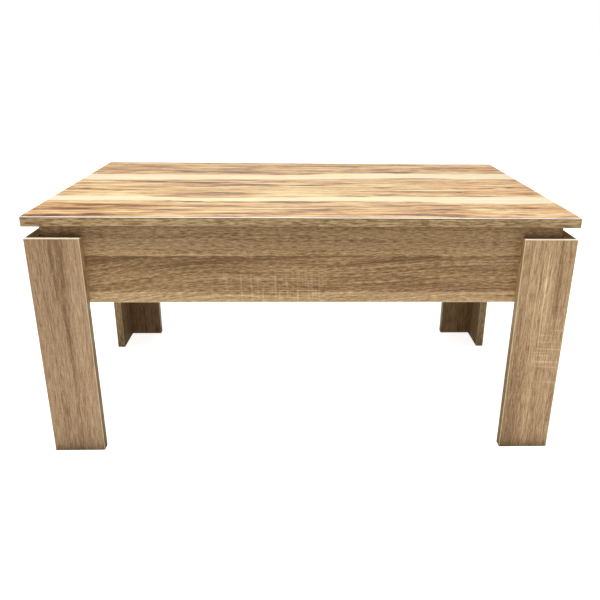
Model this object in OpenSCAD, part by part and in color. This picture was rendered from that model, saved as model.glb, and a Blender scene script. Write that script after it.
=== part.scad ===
// Lift top coffee table: a laminated top on two parallelogram lift hinges, over a storage box that hangs
// between four legs, each made of two boards set at a right angle.
// The origin is on the floor under the centre of the closed top. +X runs along the top, +Y to the back.

/* [Table] */
// Length of the top, left to right
top_w = 1000; // [900:10:1200]
// Depth of the top, front to back
top_d = 600; // [560:10:700]
// Height of the closed table
table_h = 480; // [475:5:520]
// Thickness of the top, the aprons, the side panels and the leg boards
board_t = 18; // [18:1:19]
// Thickness of the glued edge bands
band_t = 1; // [0.5:0.1:1.5]

/* [Legs] */
// Height of the legs
leg_h = 440; // [420:5:450]
// Width of a leg's front or rear board
leg_w = 98; // [90:1:120]
// Width of a leg's side board
leg_side_w = 92; // [80:1:120]
// How far the legs stand in from the edges of the top
leg_inset = 1; // [0:0.5:5]
// Heights of the cam locks that join the two boards of a leg
leg_cam_z = [140, 300];
// Heights of the dowels that line up the two boards of a leg
leg_dowel_z = [50, 400];

/* [Storage box] */
// Height of the aprons and the side panels
box_h = 149; // [147:1:155]
// Gap between the box and the side boards of the legs
end_gap = 6; // [4:0.5:10]
// Thickness of the bottom panel
bottom_t = 16; // [16:1:18]
// Height of the bottom panel above the lower edges of the aprons
bottom_lift = 4; // [2:0.5:8]
// Thickness of the pads that the closed top rests on
pad_t = 1; // [0.8:0.1:2]
// Radius of those pads
pad_r = 5; // [4:0.5:7]

/* [Lift hinges] */
// Distance between the two pivots of an arm
arm_l = 240; // [220:5:250]
// Width of an arm
arm_w = 25; // [22:0.5:26]
// Thickness of an arm
arm_t = 3; // [2.5:0.1:3.5]
// Thickness of the bracket plates
plate_t = 2.5; // [2.5:0.1:3]
// Angle of the arms above the rearward horizontal when the table is closed
arm_rest = 6; // [5:0.5:8]
// Angle that the arms turn through from closed to fully raised
arm_travel = 110; // [100:1:110]
// Place of the rear base pivot behind the middle of the table
pivot_y = -60; // [-80:1:-50]
// Height of the rear base pivot above the lower edges of the aprons
pivot_rise = 63; // [62:0.5:66]
// Distance between the two pivots on one bracket
pivot_gap = 60; // [58:0.5:62]
// Direction from the rear pivot to the front pivot, from the rearward horizontal
pivot_dir = 150; // [148:0.5:152]
// Radius of the pivot pins
pin_r = 6; // [5:0.25:6]
// Thickness of the nylon washers between the plates
washer_t = 1; // [1:0.1:1.2]

/* [Springs] */
// Radius of the spring wire
wire_r = 1.75; // [1.5:0.05:1.9]
// Mean radius of the spring's coils
coil_r = 11.5; // [11:0.1:12.5]
// Pitch of the spring's coils
coil_pitch = 4.1; // [4.1:0.05:4.5]

/* [Fittings] */
// Radius of a cam lock
cam_r = 7.5; // [7:0.25:7.5]
// Depth of a cam lock
cam_depth = 12.5; // [12:0.1:12.5]
// Distance of a cam's centre from the joint that it pulls together
cam_set = 24; // [24:0.5:34]
// Radius of a dowel
dowel_r = 4; // [3:0.5:4]
// Radius of the bolts that hold the legs to the aprons
leg_bolt_r = 3; // [3:0.5:4]

/* [Hidden] */
$fn = 48;

oak = [0.70, 0.58, 0.43];
oak_edge = [0.62, 0.52, 0.38];
laminate = [0.86, 0.70, 0.48];
zinc = [0.74, 0.75, 0.76];
black_steel = [0.10, 0.10, 0.11];
spring_steel = [0.45, 0.46, 0.48];
nylon = [0.88, 0.87, 0.83];
beech = [0.80, 0.62, 0.42];

// Clearance round everything that sits in a hole, and between edge bands that meet
slack = 0.05;

// Top
top_z = table_h - board_t;

// Legs, measured in the rear right corner
leg_x = top_w / 2 - leg_inset;
leg_y = top_d / 2 - leg_inset;
leg_mid_x = leg_x - board_t / 2;

// Storage box
box_top = top_z - pad_t;
box_z = box_top - box_h;
apron_x = leg_x - board_t - end_gap;
apron_y = leg_y - board_t;
panel_x = apron_x - board_t;
panel_y = apron_y - board_t;
bottom_z = box_z + bottom_lift;
bottom_mid_z = bottom_z + bottom_t / 2;
panel_cam_z = [box_z + 45, box_z + 118];
panel_dowel_z = [box_z + 82];
bottom_cam_x = [-300, 0, 300];
bottom_cam_y = [-150, 150];
pad_x = apron_x - 60;

// Joints between boards
cam_bolt_head_r = 3.5;
cam_bolt_shank_r = 2.5;
cam_bolt_thread_r = 3;
cam_bolt_grip = 11;
dowel_in_edge = 20;
dowel_in_face = 10;

// Leg bolts
leg_bolt_x = leg_x - leg_w + 28;
leg_bolt_z = [box_z + 38, box_z + 110];
washer_r = 8;
washer_h = 1.5;
bolt_head_h = 3.2;
bolt_socket_r = 2.3;
bolt_socket_h = 2.2;
insert_r = 5;
insert_l = 13;

// Lift hinges, drawn on the right: a depth is measured inwards from the right side panel
pivot_base_rear = [pivot_y, box_z + pivot_rise];
pivot_base_front = pivot_base_rear + pivot_gap * [cos(pivot_dir), sin(pivot_dir)];
arm_vector = arm_l * [cos(arm_rest), sin(arm_rest)];
pivot_top_rear = pivot_base_rear + arm_vector;
pivot_top_front = pivot_base_front + arm_vector;
arm_depth = plate_t + washer_t;
top_plate_depth = arm_depth + arm_t + washer_t;
flange_w = 30;
pin_head_t = 2;
pin_head_r = 9;
pin_play = 0.2;
stop_r = 4;
stop_along = 60;
stop_angle = arm_rest + arm_travel;
stop_at = pivot_base_front + stop_along * [cos(stop_angle), sin(stop_angle)]
    + (arm_w / 2 + stop_r + slack) * [cos(stop_angle + 90), sin(stop_angle + 90)];

// Bracket outlines and screw places, from the rear pivot of each bracket
base_outline = [[-64, -28], [40, -28], [40, 12], [4, 46], [-52, 83], [-112, 83], [-112, 8]];
base_screws = [[-58, -18], [30, -18], [24, 14], [-100, 24]];
top_rise = top_z - pivot_top_rear[1];
top_outline = [[-90, top_rise], [-90, top_rise - 20], [-72, 16], [-14, -15], [16, -15], [30, top_rise - 18],
    [40, top_rise - 14], [40, top_rise]];
top_screws = [-78, -25, 28];
top_screw_inset = 19;
screw_r = 2;
screw_head_r = 4;
screw_head_h = 2.2;
base_screw_l = 15;
top_screw_l = 15;

// Springs
coil_turns = 5;
coil_start = arm_depth + arm_t + pin_play + washer_t + wire_r + pin_play;
coil_end = coil_start + coil_turns * coil_pitch;
slot_depth = 6;
post_end = coil_end + wire_r + 2;
spring_leg_dir = arm_rest - 6;
spring_leg_l = 42;

// Draws a shape of the rear right corner at the corner with the given signs of X and Y.
module corner(sx, sy) {
    mirror([sx < 0 ? 1 : 0, 0, 0]) mirror([0, sy < 0 ? 1 : 0, 0]) children();
}

// Draws a shape of the right half on both sides.
module left_and_right() {
    children();
    mirror([1, 0, 0]) children();
}

// Draws a shape of the rear half at the front and the back.
module front_and_rear() {
    children();
    mirror([0, 1, 0]) children();
}

module four_corners() {
    left_and_right() front_and_rear() children();
}

// A straight rod along X of the joint's own frame.
module rod_x(x0, x1, r) {
    translate([x0, 0, 0]) rotate([0, 90, 0]) cylinder(r = r, h = x1 - x0);
}

// Cam joints have their own frame: the joint is the plane x = 0, the board with the cam lies on its -X side,
// the cam's face looks along +Z and the bolt runs along X into the other board.
module cam_lock(t) {
    difference() {
        translate([-cam_set, 0, t / 2 - cam_depth]) cylinder(r = cam_r, h = cam_depth);
        rod_x(-cam_set - 3, 0, cam_bolt_head_r + 0.3);
        for (turn = [45, 135]) {
            translate([-cam_set, 0, t / 2]) rotate([0, 0, turn]) cube([10, 1.6, 4], center = true);
        }
    }
}

module cam_bolt() {
    rod_x(-cam_set - 1.5, -cam_set + 1, cam_bolt_head_r);
    rod_x(-cam_set + 1, 0, cam_bolt_shank_r);
    rod_x(0, cam_bolt_grip, cam_bolt_thread_r);
}

// Everything that is bored for a cam joint, in both boards.
module cam_bores(t) {
    translate([-cam_set, 0, t / 2 - cam_depth - slack]) cylinder(r = cam_r + slack, h = cam_depth + 1);
    rod_x(-cam_set, slack, cam_bolt_head_r + 0.5);
    rod_x(0, cam_bolt_grip + slack, cam_bolt_thread_r + slack);
}

module dowel() {
    rod_x(-dowel_in_edge, dowel_in_face, dowel_r);
}

module dowel_bore() {
    rod_x(-dowel_in_edge - slack, dowel_in_face + slack, dowel_r + slack);
}

// Places for the joint frame: between the boards of the rear right leg.
module leg_joint(heights) {
    for (z = heights) {
        translate([leg_mid_x, apron_y, z]) rotate([-90, 0, 90]) children();
    }
}

// Places for the joint frame: from the right side panel into the rear apron.
module panel_joint(heights) {
    for (z = heights) {
        translate([apron_x - board_t / 2, panel_y, z]) rotate([-90, 0, 90]) children();
    }
}

// Places for the joint frame: from the bottom panel into the rear apron.
module bottom_rear_joint() {
    for (x = bottom_cam_x) {
        translate([x, panel_y, bottom_mid_z]) rotate([180, 0, 90]) children();
    }
}

// Places for the joint frame: from the bottom panel into the right side panel.
module bottom_side_joint() {
    for (y = bottom_cam_y) {
        translate([panel_x, y, bottom_mid_z]) rotate([180, 0, 0]) children();
    }
}

// Places along the axes of the bolts that hold the rear right leg, with +X pointing out of the box.
module leg_bolt_place() {
    for (z = leg_bolt_z) {
        translate([leg_bolt_x, panel_y, z]) rotate([0, 0, 90]) children();
    }
}

// Extrudes an outline drawn in Y and Z, from the given depth inside the right side panel.
module in_side_plane(depth, t) {
    translate([panel_x - depth - t, 0, 0]) rotate([90, 0, 90]) linear_extrude(t) children();
}

// A round bar along X at a point of the side plane, between two depths.
module pin(at, from, to, r) {
    in_side_plane(from, to - from) translate(at) circle(r = r);
}

// Countersunk screw with its head's face at z = 0 and its shank along -Z.
module wood_screw(l) {
    translate([0, 0, -screw_head_h]) cylinder(r1 = screw_r, r2 = screw_head_r, h = screw_head_h);
    translate([0, 0, -l]) cylinder(r = screw_r, h = l - screw_head_h + slack);
}

module wood_screw_bore(l) {
    shank_r = screw_r + slack;
    head_r = screw_head_r + slack;
    translate([0, 0, -screw_head_h]) cylinder(r1 = shank_r, r2 = head_r, h = screw_head_h);
    translate([0, 0, -l - slack]) cylinder(r = shank_r, h = l);
    cylinder(r = head_r, h = 1);
}

// The screws of the right base bracket, driven outwards into the side panel.
module base_screw_place() {
    for (at = base_screws) {
        translate([panel_x - plate_t, pivot_base_rear[0] + at[0], pivot_base_rear[1] + at[1]])
            rotate([0, -90, 0]) children();
    }
}

// The screws of the right top bracket, driven up into the top.
module top_screw_place() {
    for (y = top_screws) {
        translate([panel_x - top_plate_depth - top_screw_inset, pivot_top_rear[0] + y, top_z - plate_t])
            rotate([180, 0, 0]) children();
    }
}

// Top

module top_board() {
    color(laminate) difference() {
        translate([-top_w / 2 + band_t, -top_d / 2 + band_t, top_z])
            cube([top_w - 2 * band_t, top_d - 2 * band_t, board_t]);
        left_and_right() top_screw_place() wood_screw_bore(top_screw_l);
    }
}

module top_long_band() {
    translate([-top_w / 2, top_d / 2 - band_t, top_z]) cube([top_w, band_t, board_t]);
}

module top_short_band() {
    translate([top_w / 2 - band_t, -top_d / 2 + band_t, top_z]) cube([band_t, top_d - 2 * band_t, board_t]);
}

module top_rear_edge_band() {
    color(oak_edge) top_long_band();
}

module top_front_edge_band() {
    color(oak_edge) mirror([0, 1, 0]) top_long_band();
}

module top_right_edge_band() {
    color(oak_edge) top_short_band();
}

module top_left_edge_band() {
    color(oak_edge) mirror([1, 0, 0]) top_short_band();
}

// Storage box

module rear_apron_shape() {
    difference() {
        translate([-apron_x, panel_y, box_z + band_t]) cube([2 * apron_x, board_t, box_h - 2 * band_t]);
        left_and_right() {
            panel_joint(panel_cam_z) cam_bores(board_t);
            panel_joint(panel_dowel_z) dowel_bore();
            leg_bolt_place() rod_x(-1, board_t + 1, leg_bolt_r + 0.3);
        }
        bottom_rear_joint() cam_bores(bottom_t);
    }
}

module rear_apron() {
    color(oak) rear_apron_shape();
}

module front_apron() {
    color(oak) mirror([0, 1, 0]) rear_apron_shape();
}

module right_panel_shape() {
    difference() {
        translate([panel_x, -panel_y, box_z + band_t]) cube([board_t, 2 * panel_y, box_h - 2 * band_t]);
        front_and_rear() {
            panel_joint(panel_cam_z) cam_bores(board_t);
            panel_joint(panel_dowel_z) dowel_bore();
        }
        bottom_side_joint() cam_bores(bottom_t);
        base_screw_place() wood_screw_bore(base_screw_l);
    }
}

module right_side_panel() {
    color(oak) right_panel_shape();
}

module left_side_panel() {
    color(oak) mirror([1, 0, 0]) right_panel_shape();
}

module bottom_panel() {
    color(oak) difference() {
        translate([-panel_x, -panel_y, bottom_z]) cube([2 * panel_x, 2 * panel_y, bottom_t]);
        front_and_rear() bottom_rear_joint() cam_bores(bottom_t);
        left_and_right() bottom_side_joint() cam_bores(bottom_t);
    }
}

module box_edge_bands() {
    half_l = panel_y - slack;
    color(oak_edge) for (z = [box_z, box_top - band_t]) {
        front_and_rear() translate([-apron_x, panel_y, z]) cube([2 * apron_x, board_t, band_t]);
        left_and_right() translate([panel_x, -half_l, z]) cube([board_t, 2 * half_l, band_t]);
    }
}

module bumper_pads() {
    pad_y = apron_y - board_t / 2;
    color(nylon) four_corners() translate([pad_x, pad_y, box_top]) cylinder(r = pad_r, h = pad_t);
}

module box_cam_locks() {
    color(zinc) {
        four_corners() panel_joint(panel_cam_z) cam_lock(board_t);
        front_and_rear() bottom_rear_joint() cam_lock(bottom_t);
        left_and_right() bottom_side_joint() cam_lock(bottom_t);
    }
}

module box_cam_bolts() {
    color(zinc) {
        four_corners() panel_joint(panel_cam_z) cam_bolt();
        front_and_rear() bottom_rear_joint() cam_bolt();
        left_and_right() bottom_side_joint() cam_bolt();
    }
}

module box_dowels() {
    color(beech) four_corners() panel_joint(panel_dowel_z) dowel();
}

// Legs, drawn for the rear right corner

module leg_face_board() {
    color(oak) difference() {
        translate([leg_x - leg_w + band_t, apron_y, 0]) cube([leg_w - 2 * band_t, board_t, leg_h - band_t]);
        leg_joint(leg_cam_z) cam_bores(board_t);
        leg_joint(leg_dowel_z) dowel_bore();
        leg_bolt_place() rod_x(board_t - 1, board_t + insert_l + slack, insert_r + slack);
    }
}

module leg_side_board() {
    color(oak) difference() {
        translate([leg_x - board_t, apron_y - leg_side_w + band_t, 0])
            cube([board_t, leg_side_w - band_t, leg_h - band_t]);
        leg_joint(leg_cam_z) cam_bores(board_t);
        leg_joint(leg_dowel_z) dowel_bore();
    }
}

module leg_edge_bands() {
    core_h = leg_h - band_t;
    color(oak_edge) {
        for (x = [leg_x - leg_w, leg_x - band_t]) {
            translate([x, apron_y, 0]) cube([band_t, board_t, core_h - slack]);
        }
        translate([leg_x - leg_w, apron_y, core_h]) cube([leg_w, board_t, band_t]);
        translate([leg_x - board_t, apron_y - leg_side_w, 0]) {
            cube([board_t, band_t, core_h - slack]);
            translate([0, 0, core_h]) cube([board_t, leg_side_w - slack, band_t]);
        }
    }
}

module front_left_leg_face_board() {
    corner(-1, -1) leg_face_board();
}

module front_left_leg_side_board() {
    corner(-1, -1) leg_side_board();
}

module front_left_leg_edge_bands() {
    corner(-1, -1) leg_edge_bands();
}

module front_right_leg_face_board() {
    corner(1, -1) leg_face_board();
}

module front_right_leg_side_board() {
    corner(1, -1) leg_side_board();
}

module front_right_leg_edge_bands() {
    corner(1, -1) leg_edge_bands();
}

module rear_left_leg_face_board() {
    corner(-1, 1) leg_face_board();
}

module rear_left_leg_side_board() {
    corner(-1, 1) leg_side_board();
}

module rear_left_leg_edge_bands() {
    corner(-1, 1) leg_edge_bands();
}

module rear_right_leg_face_board() {
    corner(1, 1) leg_face_board();
}

module rear_right_leg_side_board() {
    corner(1, 1) leg_side_board();
}

module rear_right_leg_edge_bands() {
    corner(1, 1) leg_edge_bands();
}

module leg_cam_locks() {
    color(zinc) four_corners() leg_joint(leg_cam_z) cam_lock(board_t);
}

module leg_cam_bolts() {
    color(zinc) four_corners() leg_joint(leg_cam_z) cam_bolt();
}

module leg_dowels() {
    color(beech) four_corners() leg_joint(leg_dowel_z) dowel();
}

// Button head bolts with a hexagon socket, pushed out from inside the box.
module leg_bolt() {
    difference() {
        union() {
            rod_x(-washer_h - bolt_head_h, -washer_h, leg_bolt_r * 1.75);
            rod_x(-washer_h, board_t + insert_l - 1, leg_bolt_r);
        }
        translate([-washer_h - bolt_head_h - slack, 0, 0]) rotate([0, 90, 0])
            cylinder(r = bolt_socket_r, h = bolt_socket_h, $fn = 6);
    }
}

module leg_bolts() {
    color(zinc) four_corners() leg_bolt_place() leg_bolt();
}

module leg_bolt_washers() {
    color(zinc) four_corners() leg_bolt_place() difference() {
        rod_x(-washer_h, 0, washer_r);
        rod_x(-washer_h - 1, 1, leg_bolt_r + slack);
    }
}

module leg_bolt_inserts() {
    color(zinc) four_corners() leg_bolt_place() difference() {
        rod_x(board_t, board_t + insert_l, insert_r);
        rod_x(board_t - 1, board_t + insert_l + 1, leg_bolt_r + slack);
    }
}

// Lift hinges, drawn on the right

module base_bracket() {
    color(black_steel) difference() {
        in_side_plane(0, plate_t) translate(pivot_base_rear) polygon(base_outline);
        for (at = [pivot_base_rear, pivot_base_front]) {
            pin(at, -1, plate_t + 1, pin_r + slack);
        }
        pin(stop_at, -1, plate_t + 1, stop_r + slack);
        base_screw_place() wood_screw_bore(base_screw_l);
    }
}

module right_base_bracket() {
    base_bracket();
}

module left_base_bracket() {
    mirror([1, 0, 0]) base_bracket();
}

module top_bracket() {
    color(black_steel) difference() {
        union() {
            in_side_plane(top_plate_depth, plate_t) translate(pivot_top_rear) polygon(top_outline);
            translate([panel_x - top_plate_depth - flange_w, pivot_top_rear[0] - 90, top_z - plate_t])
                cube([flange_w, 130, plate_t]);
        }
        for (at = [pivot_top_rear, pivot_top_front]) {
            pin(at, top_plate_depth - 1, top_plate_depth + plate_t + 1, pin_r + slack);
        }
        top_screw_place() wood_screw_bore(top_screw_l);
    }
}

module right_top_bracket() {
    top_bracket();
}

module left_top_bracket() {
    mirror([1, 0, 0]) top_bracket();
}

// A flat steel bar with round ends between two pivots.
module arm(from, to) {
    color(black_steel) difference() {
        union() {
            for (at = [from, to]) {
                pin(at, arm_depth, arm_depth + arm_t, arm_w / 2);
            }
            in_side_plane(arm_depth, arm_t) translate(from) rotate(arm_rest)
                translate([0, -arm_w / 2]) square([arm_l, arm_w]);
        }
        for (at = [from, to]) {
            pin(at, arm_depth - 1, arm_depth + arm_t + 1, pin_r + slack);
        }
    }
}

module right_front_arm() {
    arm(pivot_base_front, pivot_top_front);
}

module right_rear_arm() {
    arm(pivot_base_rear, pivot_top_rear);
}

module left_front_arm() {
    mirror([1, 0, 0]) arm(pivot_base_front, pivot_top_front);
}

module left_rear_arm() {
    mirror([1, 0, 0]) arm(pivot_base_rear, pivot_top_rear);
}

// The rear pin goes on as a post with a slotted end, which carries the spring and holds its straight end.
module base_pivot_pins() {
    arm_face = arm_depth + arm_t + pin_play;
    color(zinc) left_and_right() {
        pin(pivot_base_front, 0, arm_face, pin_r);
        pin(pivot_base_front, arm_face, arm_face + pin_head_t, pin_head_r);
        difference() {
            union() {
                pin(pivot_base_rear, 0, post_end, pin_r);
                pin(pivot_base_rear, arm_face, arm_face + washer_t, pin_head_r);
            }
            in_side_plane(post_end - slot_depth, slot_depth + 1) translate(pivot_base_rear)
                square([2 * pin_r + 1, 2 * wire_r + 0.4], center = true);
        }
    }
}

module top_pivot_pins() {
    color(zinc) left_and_right() for (at = [pivot_top_rear, pivot_top_front]) {
        pin(at, arm_depth - pin_play - pin_head_t, arm_depth - pin_play, pin_head_r);
        pin(at, arm_depth - pin_play, top_plate_depth + plate_t, pin_r);
    }
}

module washer_at(at, depth) {
    difference() {
        pin(at, depth + slack, depth + washer_t - slack, arm_w / 2 - 1.5);
        pin(at, depth - 1, depth + washer_t + 1, pin_r + slack);
    }
}

module base_pivot_washers() {
    color(nylon) left_and_right() for (at = [pivot_base_rear, pivot_base_front]) {
        washer_at(at, plate_t);
    }
}

module top_pivot_washers() {
    color(nylon) left_and_right() for (at = [pivot_top_rear, pivot_top_front]) {
        washer_at(at, arm_depth + arm_t);
    }
}

module stop_pins() {
    color(zinc) left_and_right() pin(stop_at, 0, arm_depth + arm_t, stop_r);
}

module base_bracket_screws() {
    color(zinc) left_and_right() base_screw_place() wood_screw(base_screw_l);
}

module top_bracket_screws() {
    color(zinc) left_and_right() top_screw_place() wood_screw(top_screw_l);
}

// Lift springs: a coil round the rear base pivot. Its straight end lies in the post's slot, and its leg
// runs along the rear arm and hooks under it.

coil_steps = 14;
coil_low = spring_leg_dir - 90;
leg_end = coil_r * [cos(coil_low), sin(coil_low)]
    + spring_leg_l * [cos(spring_leg_dir), sin(spring_leg_dir)];

// A point of the spring: the depth inside the panel, and the place in the side plane from the pivot.
function spring_point(depth, at) = [panel_x - depth, pivot_base_rear[0] + at[0], pivot_base_rear[1] + at[1]];

spring_path = concat(
    [for (r = [-pin_r + 1, 0, coil_r * 0.7])
        spring_point(post_end - wire_r - 1, [-r, 0])],
    [for (i = [1 : coil_turns * coil_steps])
        let (share = i / (coil_turns * coil_steps), angle = 180 + share * (360 * coil_turns + 180 + coil_low))
        spring_point(coil_end - share * (coil_end - coil_start), coil_r * [cos(angle), sin(angle)])],
    [for (share = [0.25, 0.6, 0.93])
        spring_point(coil_start, (1 - share) * coil_r * [cos(coil_low), sin(coil_low)] + share * leg_end)],
    [spring_point(coil_start - 1, leg_end),
        spring_point(arm_depth + arm_t / 2, leg_end),
        spring_point(arm_depth + 0.5, leg_end)]
);

function unit(v) = v / norm(v);

function tangent(path, i) = unit(path[min(i + 1, len(path) - 1)] - path[max(i - 1, 0)]);

// Turns a side direction along the path, so that the tube's rings don't twist.
function carried(path, i, side) = i == len(path) ? [] :
    let (t = tangent(path, i), next = unit(side - (side * t) * t))
    concat([next], carried(path, i + 1, next));

module tube(path, r, sides) {
    across = carried(path, 0, unit(cross(tangent(path, 0), [1, 0.2, 0.1])));
    last = len(path) - 1;
    points = [
        for (i = [0 : last], k = [0 : sides - 1])
            let (u = across[i], v = cross(tangent(path, i), u), a = 360 * k / sides)
            path[i] + r * (cos(a) * u + sin(a) * v)
    ];
    walls = [
        for (i = [0 : last - 1], k = [0 : sides - 1])
            let (a = i * sides + k, b = i * sides + (k + 1) % sides)
            each [[a, b + sides, b], [a, a + sides, b + sides]]
    ];
    first_cap = [[for (k = [0 : sides - 1]) k]];
    last_cap = [[for (k = [sides - 1 : -1 : 0]) last * sides + k]];
    polyhedron(points, concat(walls, first_cap, last_cap), convexity = 6);
}

module right_lift_spring() {
    color(spring_steel) tube(spring_path, wire_r, 8);
}

module left_lift_spring() {
    color(spring_steel) mirror([1, 0, 0]) tube(spring_path, wire_r, 8);
}

top_board();
top_front_edge_band();
top_rear_edge_band();
top_left_edge_band();
top_right_edge_band();
front_apron();
rear_apron();
left_side_panel();
right_side_panel();
bottom_panel();
box_edge_bands();
front_left_leg_face_board();
front_left_leg_side_board();
front_left_leg_edge_bands();
front_right_leg_face_board();
front_right_leg_side_board();
front_right_leg_edge_bands();
rear_left_leg_face_board();
rear_left_leg_side_board();
rear_left_leg_edge_bands();
rear_right_leg_face_board();
rear_right_leg_side_board();
rear_right_leg_edge_bands();
leg_cam_locks();
leg_cam_bolts();
leg_dowels();
leg_bolts();
leg_bolt_washers();
leg_bolt_inserts();
box_cam_locks();
box_cam_bolts();
box_dowels();
bumper_pads();
left_base_bracket();
right_base_bracket();
left_top_bracket();
right_top_bracket();
left_front_arm();
left_rear_arm();
right_front_arm();
right_rear_arm();
base_pivot_pins();
top_pivot_pins();
base_pivot_washers();
top_pivot_washers();
stop_pins();
left_lift_spring();
right_lift_spring();
base_bracket_screws();
top_bracket_screws();
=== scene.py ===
import math

import bmesh
import bpy
from mathutils import Matrix, Vector


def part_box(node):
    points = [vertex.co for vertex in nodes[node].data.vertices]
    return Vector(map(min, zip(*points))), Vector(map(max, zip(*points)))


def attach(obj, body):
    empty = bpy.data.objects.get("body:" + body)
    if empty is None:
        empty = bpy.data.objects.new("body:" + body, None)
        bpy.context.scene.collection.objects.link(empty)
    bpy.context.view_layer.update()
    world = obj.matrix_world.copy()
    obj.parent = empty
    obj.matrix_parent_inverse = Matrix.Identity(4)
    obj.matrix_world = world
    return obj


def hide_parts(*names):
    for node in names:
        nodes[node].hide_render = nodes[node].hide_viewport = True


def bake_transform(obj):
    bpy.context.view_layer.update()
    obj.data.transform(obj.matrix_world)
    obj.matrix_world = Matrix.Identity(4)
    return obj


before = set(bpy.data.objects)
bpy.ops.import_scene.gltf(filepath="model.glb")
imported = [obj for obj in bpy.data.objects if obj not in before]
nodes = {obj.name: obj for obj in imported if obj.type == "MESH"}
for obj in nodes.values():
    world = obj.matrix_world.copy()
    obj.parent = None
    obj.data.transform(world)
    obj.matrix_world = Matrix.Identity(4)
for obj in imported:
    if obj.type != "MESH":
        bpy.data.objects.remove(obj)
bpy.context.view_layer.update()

# All lengths are in metres.
SAME_PLACE = 1e-6
AXES = {"x": 0, "y": 1, "z": 2}
PLAIN = (1.0, 1.0, 1.0)


# --------------------------------------------------------------------------------------------------------
# Node materials
# --------------------------------------------------------------------------------------------------------

def colour(red, green, blue):
    """A linear colour from 0 to 255 display values."""
    def linear(value):
        value /= 255
        return value / 12.92 if value <= 0.04045 else ((value + 0.055) / 1.055) ** 2.4
    return (linear(red), linear(green), linear(blue), 1.0)


class Field:
    """A number that varies over a surface. Arithmetic on it adds Math nodes."""

    def __init__(self, paint, socket):
        self.paint, self.socket = paint, socket

    def __add__(self, other):
        return self.paint.math("ADD", self, other)

    def __sub__(self, other):
        return self.paint.math("SUBTRACT", self, other)

    def __rsub__(self, other):
        return self.paint.math("SUBTRACT", other, self)

    def __mul__(self, other):
        return self.paint.math("MULTIPLY", self, other)

    def __truediv__(self, other):
        return self.paint.math("DIVIDE", self, other)

    def __abs__(self):
        return self.paint.math("ABSOLUTE", self)

    __radd__ = __add__
    __rmul__ = __mul__


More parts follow.
